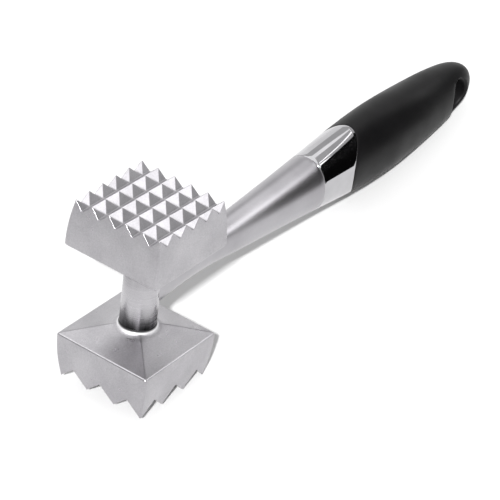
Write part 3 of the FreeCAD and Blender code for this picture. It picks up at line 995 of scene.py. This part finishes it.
blasted_and_shaded = head_metal()
edge_wear_and_glint = head_edge_wear_and_highlight()
for node, gaps, up in (("fine_tooth_block", FINE_GAPS, 1), ("coarse_tooth_block", COARSE_GAPS, -1)):
    block = tooth_block(node, gaps, up)
    block.data.materials.append(blasted_and_shaded)
    block.data.materials.append(edge_wear_and_glint)
    for face in block.data.polygons:
        face.use_smooth = True
        face.material_index = 0
    # The rounded edges get the second material: partly wear, partly a painted highlight.
    soften(block, EDGE_ROUNDING, 3, 1)
    place(block, node, "head_metal", blasted_and_shaded, edge_wear_and_glint)
place(stem(), "head_stem", "head_metal", stem_metal())
place(shank(), "handle_shank", "shank_metal", shank_metal())
place(collar(), "collar_ring", "ring_metal", ring_metal())
place(grip(), "grip_sleeve", "soft_grip", soft_grip())

inner = {"steel": inner_steel(), "core_plastic": core_plastic()}
for part in frame["record"]["subparts"]:
    if part["material_slot"] in inner:
        node = frame["nodes"][part["node"]]
        node.data.materials.clear()
        node.data.materials.append(inner[part["material_slot"]])


# ---------------------------------------------------------------- stage

def rectangle(name, width, depth):
    """Flat face round the origin, in millimetres."""
    build = Builder()
    x, y = width / 2, depth / 2
    build.face([(-x, -y, 0), (x, -y, 0), (x, y, 0), (-x, y, 0)])
    return build.object(name)


def floor():
    made = rectangle("floor", 6000.0, 6000.0)
    paint = Surface("floor_paint", 0.0)
    paint.set_colour(paint.colours(paint.noise(3, 3), (0.75, 0.75, 0.75), (0.77, 0.77, 0.77)))
    paint.set_roughness(paint.ranged(paint.noise(20, 3), 0.75, 0.85))
    paint.shader.inputs["Specular IOR Level"].default_value = 0.1
    made.data.materials.append(paint.material)


def seen_from(along, direction, distance):
    """Spot in a direction of the mallet's own frame, from a place along its handle."""
    away = (LAID_DOWN.to_3x3() @ Vector(direction)).normalized()
    return LAID_DOWN @ Vector((along, 0, 0)) + away * distance, away


def board(name, spot, away, size, tone):
    """Plain board that only glossy surfaces see, lying across the direction away."""
    made = rectangle(name, size[0] / MM, size[1] / MM)
    made.location = spot
    made.rotation_mode = "QUATERNION"
    made.rotation_quaternion = away.to_track_quat("Z", "Y")
    paint = bpy.data.materials.new(name)
    paint.use_nodes = True
    shader = paint.node_tree.nodes["Principled BSDF"]
    shader.inputs["Base Color"].default_value = (0, 0, 0, 1)
    shader.inputs["Specular IOR Level"].default_value = 0
    shader.inputs["Emission Color"].default_value = (1, 1, 1, 1)
    shader.inputs["Emission Strength"].default_value = tone
    made.data.materials.append(paint)
    made.visible_camera = made.visible_diffuse = made.visible_shadow = False


def lamp(name, side, up, strength, softness):
    """Broad distant light just beside the camera: side and up lean it off the camera's own
    direction, so that a thin rim of shadow shows beyond the mallet's lower edges."""
    back = camera_direction()
    right = Vector((-back.y, back.x, 0)).normalized()
    away = (back + right * side + back.cross(right) * up).normalized()
    data = bpy.data.lights.new(name, "SUN")
    data.energy = strength
    data.angle = math.radians(softness)
    made = bpy.data.objects.new(name, data)
    made.rotation_mode = "QUATERNION"
    made.rotation_quaternion = away.to_track_quat("Z", "Y")
    bpy.context.scene.collection.objects.link(made)


def world():
    made = bpy.data.worlds.new("studio")
    made.use_nodes = True
    sky = made.node_tree.nodes["Background"]
    sky.inputs["Color"].default_value = (1, 1, 1, 1)
    sky.inputs["Strength"].default_value = 0.62
    bpy.context.scene.world = made


def camera_direction():
    azimuth, elevation = math.radians(-54.34), math.radians(40.75)
    across = math.cos(elevation)
    return Vector((math.sin(azimuth) * across, -math.cos(azimuth) * across, math.sin(elevation)))


def camera():
    distance = 1.0667
    aim = (cad_low + cad_high) / 2 + Vector((-0.0668, -0.0217, 0))
    back = camera_direction()
    data = bpy.data.cameras.new("camera")
    data.sensor_width = 36.0
    data.lens = 172.8
    made = bpy.data.objects.new("camera", data)
    made.location = aim + back * distance
    made.rotation_mode = "QUATERNION"
    roll = Matrix.Rotation(math.radians(1.51), 4, "Z").to_quaternion()
    made.rotation_quaternion = (-back).to_track_quat("-Z", "Y") @ roll
    bpy.context.scene.collection.objects.link(made)
    bpy.context.scene.camera = made


# Where along the handle, in metres, a board's direction is measured from
HEAD, RING, GRIP = 0.0, 0.137, 0.26
# Name, place along the handle, direction, distance, size, tone
BOARDS = (
    # Soft light above, behind and to the left
    ("top_board", RING, (0.0, 0.25, 0.97), 0.78, (1.12, 0.9), 1.5),
    ("back_board", RING, (0.69, 0.69, 0.2), 1.0, (1.6, 0.55), 1.1),
    ("left_board", HEAD, (-0.55, 0.44, 0.71), 0.9, (0.6, 0.45), 2.9),
    # Shade for the head's left walls and for the right-hand faces of its teeth
    ("low_left_board", HEAD, (-0.866, 0.5, 0.07), 0.6, (0.5, 0.17), 0.15),
    ("tooth_board", HEAD, (0.518, -0.409, 0.745), 0.11, (0.08, 0.07), 0.6),
    # The bright and dark bands that run along the shank and the ring
    ("upper_board", RING, (0.268, -0.155, 0.951), 0.16, (0.2, 0.07), 1.4),
    ("strip_board", RING, (0.51, -0.357, 0.783), 0.15, (0.24, 0.003), 3.0),
    ("glow_board", RING, (0.62, -0.52, 0.588), 0.45, (0.45, 0.13), 3.8),
    ("dark_board", RING, (0.566, -0.719, 0.404), 0.07, (0.108, 0.066), 0.004),
    ("grip_board", GRIP, (0.657, -0.635, 0.407), 0.10, (0.2, 0.09), 0.004),
)

floor()
world()
lamp("flash", -0.055, 0.06, 4.1, 2.5)
for name, along, direction, distance, size, tone in BOARDS:
    board(name, *seen_from(along, direction, distance), size, tone)
camera()
bpy.context.scene.view_settings.view_transform = "Standard"
